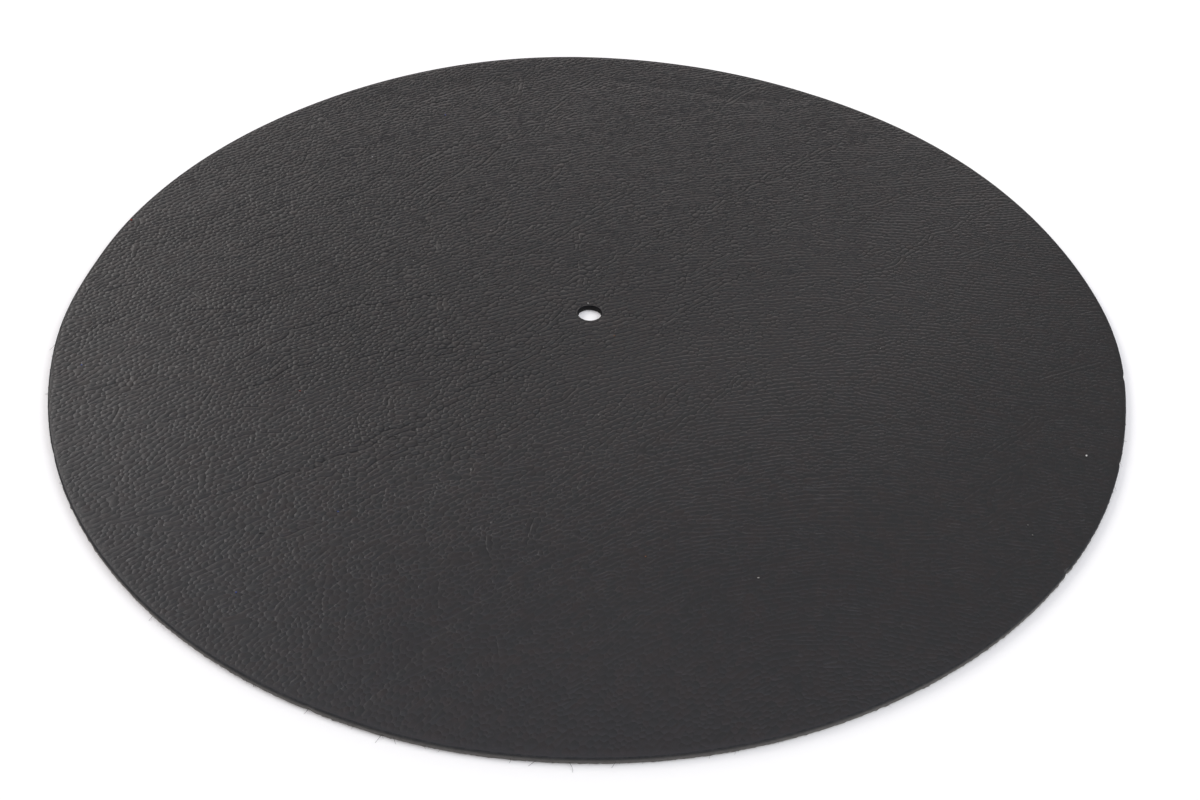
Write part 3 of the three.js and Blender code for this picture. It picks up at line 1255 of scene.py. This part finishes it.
# %% [markdown]
# Black leather shows every speck of lint. A few have settled on this mat, a fraction of a
# millimetre across. Each is a small lump with an uneven surface, sunk a little into the
# grain so that it rests there, and each takes its own colour from a face attribute.

# %% Specks of lint
LINT = [  # x, y and size in mm, then the colour
    (130.7, -54.5, 0.55, (0.80, 0.80, 0.78)),
    (42.2, -99.0, 0.42, (0.45, 0.44, 0.42)),
    (15.5, -93.3, 0.34, (0.30, 0.12, 0.05)),
    (7.2, -10.3, 0.34, (0.32, 0.13, 0.05)),
    (3.3, -43.6, 0.34, (0.30, 0.29, 0.28)),
    (-74.0, 79.7, 0.45, (0.60, 0.60, 0.60)),
    (-52.5, 107.6, 0.45, (0.08, 0.12, 0.40)),
    (-143.5, 40.3, 0.60, (0.35, 0.03, 0.02)),
    (-77.4, -37.0, 0.42, (0.28, 0.05, 0.03)),
    (-60.2, -81.2, 0.40, (0.06, 0.09, 0.30)),
    (-79.8, -107.5, 0.42, (0.06, 0.09, 0.32)),
    (-138.8, -28.7, 0.45, (0.06, 0.09, 0.30)),
    (82.5, -12.9, 0.34, (0.30, 0.29, 0.28)),
    (39.2, 114.8, 0.36, (0.32, 0.31, 0.30)),
    (-53.7, 22.7, 0.32, (0.45, 0.45, 0.45)),
    (-64.2, 22.7, 0.30, (0.40, 0.40, 0.40)),
    (110.1, -79.7, 0.32, (0.25, 0.25, 0.24)),
    (110.6, -83.0, 0.34, (0.28, 0.28, 0.27)),
    (-0.6, 4.4, 0.35, (0.75, 0.75, 0.73)),
]


def lint_mesh():
    draw = np.random.default_rng(29)
    points, faces, colours = [], [], []
    ball = bmesh.new()
    bmesh.ops.create_icosphere(ball, subdivisions=2, radius=1)
    for x, y, size, colour in LINT:
        height = float(grain_side(np.array([x * MM]), np.array([y * MM]))[0])
        start = len(points)
        stretch = draw.uniform(0.8, 1.3)
        for vertex in ball.verts:
            uneven = 1 + 0.18 * draw.normal()
            points.append((
                x * MM + vertex.co.x * size / 2 * MM * stretch * uneven,
                y * MM + vertex.co.y * size / 2 * MM / stretch * uneven,
                height + (0.12 + 0.30 * size * vertex.co.z * uneven) * MM,
            ))
        faces += [tuple(start + v.index for v in face.verts) for face in ball.faces]
        colours += [(*colour, 1)] * len(ball.faces)
    ball.free()
    mesh = bpy.data.meshes.new("lint_specks")
    mesh.from_pydata(points, [], faces)
    own_colour = mesh.attributes.new("lint_colour", "FLOAT_COLOR", "FACE")
    own_colour.data.foreach_set("color", np.array(colours).ravel())
    mesh.shade_smooth()
    return mesh


def lint_finish():
    material, tree, shader = new_material("lint")
    own_colour = stored(tree, "lint_colour", "Color")
    felted = noise(tree, 0.08 * MM)
    colour = blend_colour(tree, rescale(tree, felted, 0.3, 0.7, 0.0, 0.5), own_colour, (0.02, 0.02, 0.02))
    feed(tree, shader.inputs["Base Color"], colour)
    feed(tree, shader.inputs["Roughness"], rescale(tree, felted, 0.3, 0.7, 0.8, 1.0))
    return material


lint = add_object("lint_specks", lint_mesh())
lint.data.materials.append(lint_finish())
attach(lint, "root")
print(len(LINT), "specks of lint")

# %% [markdown]
# The studio is plain: a pale table, a broad dim dome of light, and five soft panels. Which
# way each pebble shades says where the light is: the strongest panel stands at the far
# left, so the pebbles on that side are drawn crisply. A low, wide window almost straight
# across puts the soft sheen on the middle. A panel at the right is nearly as strong, and
# weaker ones at the left and overhead fill in. Together they keep the table white.

# %% Table and lights
TABLE_HALF = 6.0
TABLE_TOP = -0.02 * MM  # clear of the suede, so the two faces never coincide
PANEL_DISTANCE = 2.2


def pale_table():
    mesh = bpy.data.meshes.new("pale_table")
    signs = ((-1, -1), (1, -1), (1, 1), (-1, 1))
    mesh.from_pydata([(x * TABLE_HALF, y * TABLE_HALF, TABLE_TOP) for x, y in signs], [], [(0, 1, 2, 3)])
    material, tree, shader = new_material("pale_table")
    paper = blend_colour(tree, noise(tree, 0.6 * MM), (0.955, 0.955, 0.955), (0.97, 0.97, 0.97))
    feed(tree, shader.inputs["Base Color"], paper)
    shader.inputs["Roughness"].default_value = 0.8
    shader.inputs["Specular IOR Level"].default_value = 0.2
    mesh.materials.append(material)
    return mesh


def dome_light(strength, colour):
    world = bpy.data.worlds.new("dome")
    world.use_nodes = True
    background = world.node_tree.nodes["Background"]
    background.inputs["Color"].default_value = (*colour, 1)
    background.inputs["Strength"].default_value = strength
    bpy.context.scene.world = world


def soft_panel(name, azimuth, elevation, size, radiance, colour):
    """An area light that faces the mat. Azimuth 0 is to the right, 90 to the far side."""
    light = bpy.data.lights.new(name, "AREA")
    light.shape = "RECTANGLE"
    light.size, light.size_y = size
    light.energy = radiance * size[0] * size[1] * pi
    light.color = colour
    turn, rise = radians(azimuth), radians(elevation)
    place = PANEL_DISTANCE * Vector((cos(turn) * cos(rise), sin(turn) * cos(rise), sin(rise)))
    panel = add_object(name, light)
    panel.location = place
    panel.rotation_euler = place.to_track_quat("Z", "Y").to_euler()
    panel.visible_camera = False


table = add_object("pale_table", pale_table())
table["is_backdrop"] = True
dome_light(0.23, (1.0, 1.0, 1.0))
soft_panel("far_left_panel", 150, 35, (1.4, 1.0), 4.7, (1.0, 0.97, 0.93))
soft_panel("low_far_window", 101, 18, (3.0, 0.7), 1.7, (1.0, 0.92, 0.91))
soft_panel("left_panel", 190, 40, (1.4, 1.2), 1.2, (1.0, 1.0, 0.92))
soft_panel("right_panel", 0, 40, (1.4, 1.2), 4.2, (0.95, 0.99, 1.0))
soft_panel("overhead_panel", 90, 88, (2.0, 2.0), 1.4, (0.93, 0.89, 1.0))
bpy.context.scene.view_settings.view_transform = "Standard"
bpy.context.scene.view_settings.look = "None"

# %% [markdown]
# Last, the two boxes are printed: the solid's, and that of everything that now stands in
# for it. They have to agree, because the part is used at its solid's size.

# %% Print both boxes
visual_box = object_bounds()
sizes = {
    "cad": [[float(v) for v in corner] for corner in cad_box],
    "visual": [[float(v) for v in corner] for corner in visual_box],
}
for name, box in sizes.items():
    print(name, "box, mm:", [[round(v / MM, 2) for v in corner] for corner in box])
